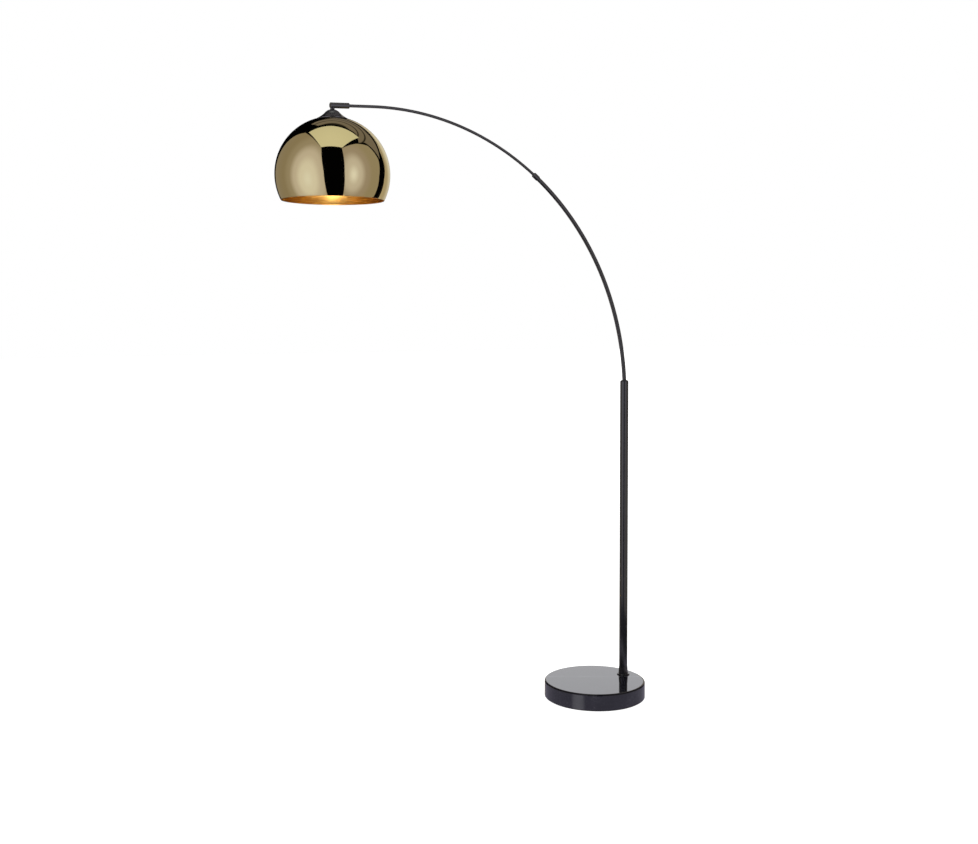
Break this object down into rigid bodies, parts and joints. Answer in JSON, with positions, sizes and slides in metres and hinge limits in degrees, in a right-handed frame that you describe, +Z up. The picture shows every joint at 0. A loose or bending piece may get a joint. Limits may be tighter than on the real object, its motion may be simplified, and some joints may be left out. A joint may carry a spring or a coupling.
{
  "type": "arc floor lamp",
  "caption": "Arc floor lamp with a round stone base, an upright pole, a curved arm that swivels and a domed metal shade that tilts.",
  "frame": {"origin": "centre of the base's underside, on the floor", "axes": "+Z up, the arm reaches towards -X over the base, the pole stands on the +X side, and the lamp's plane is Y = 0"},
  "size_m": [1.1465, 0.3, 1.7012],
  "materials": {
    "felt": "matte",
    "black_marble": "polished",
    "bush": "matte",
    "zinc": "satin",
    "raw_steel": "satin",
    "black_coat": "satin",
    "lead_jacket": "satin",
    "brass": "satin",
    "grey_satin": "satin",
    "gold": "polished",
    "black_rubber": "matte",
    "black_plastic": "matte",
    "ceramic": "gloss",
    "bulb_metal": "satin",
    "bulb_insulator": "gloss",
    "bulb_glass": "satin",
    "stem_glass": "gloss",
    "filament": "matte"
  },
  "bodies": {
    "stand": {"base_felt": "felt", "marble_base": "black_marble", "cord_bush": "bush", "base_stud": "zinc", "clamp_washer": "zinc", "spring_washer": "zinc", "base_nut": "zinc", "foot_flange": "black_coat", "pole_foot_plug": "raw_steel", "pole_tube": "black_coat", "stop_screw": "zinc", "pole_lead": "lead_jacket"},
    "arm": {"arm_spigot": "black_coat", "lower_arc_tube": "black_coat", "arc_coupling": "black_coat", "coupling_screw": "zinc", "upper_arc_tube": "black_coat", "swivel_spindle": "brass", "arm_lead": "lead_jacket"},
    "head": {"end_collar": "black_coat", "tilt_screw": "zinc", "neck_tube": "black_coat", "bell_cap": "grey_satin", "cap_nut": "zinc", "shade": "gold", "shade_washer": "black_rubber", "shade_nut": "zinc", "head_lead": "lead_jacket", "holder_cap": "black_plastic", "holder_body": "black_plastic", "contact_block": "ceramic", "screw_shell": "brass", "centre_contact": "brass", "terminal_screws": "brass", "bulb_screw_cap": "bulb_metal", "bulb_insulator": "bulb_insulator", "bulb_contact": "bulb_metal", "bulb_glass": "bulb_glass", "bulb_stem": "stem_glass", "bulb_filament": "filament"}
  },
  "joints": [
    {"name": "arm_swivel", "type": "hinge", "parent": "stand", "child": "arm", "pos_m": [0.107, 0, 0.94], "axis": [0, 0, 1], "range_deg": [-160, 160]},
    {"name": "shade_tilt", "type": "hinge", "parent": "arm", "child": "head", "pos_m": [-0.79798, 0, 1.69215], "axis": [-0.9984, 0, -0.057], "range_deg": [-40, 40]}
  ]
}
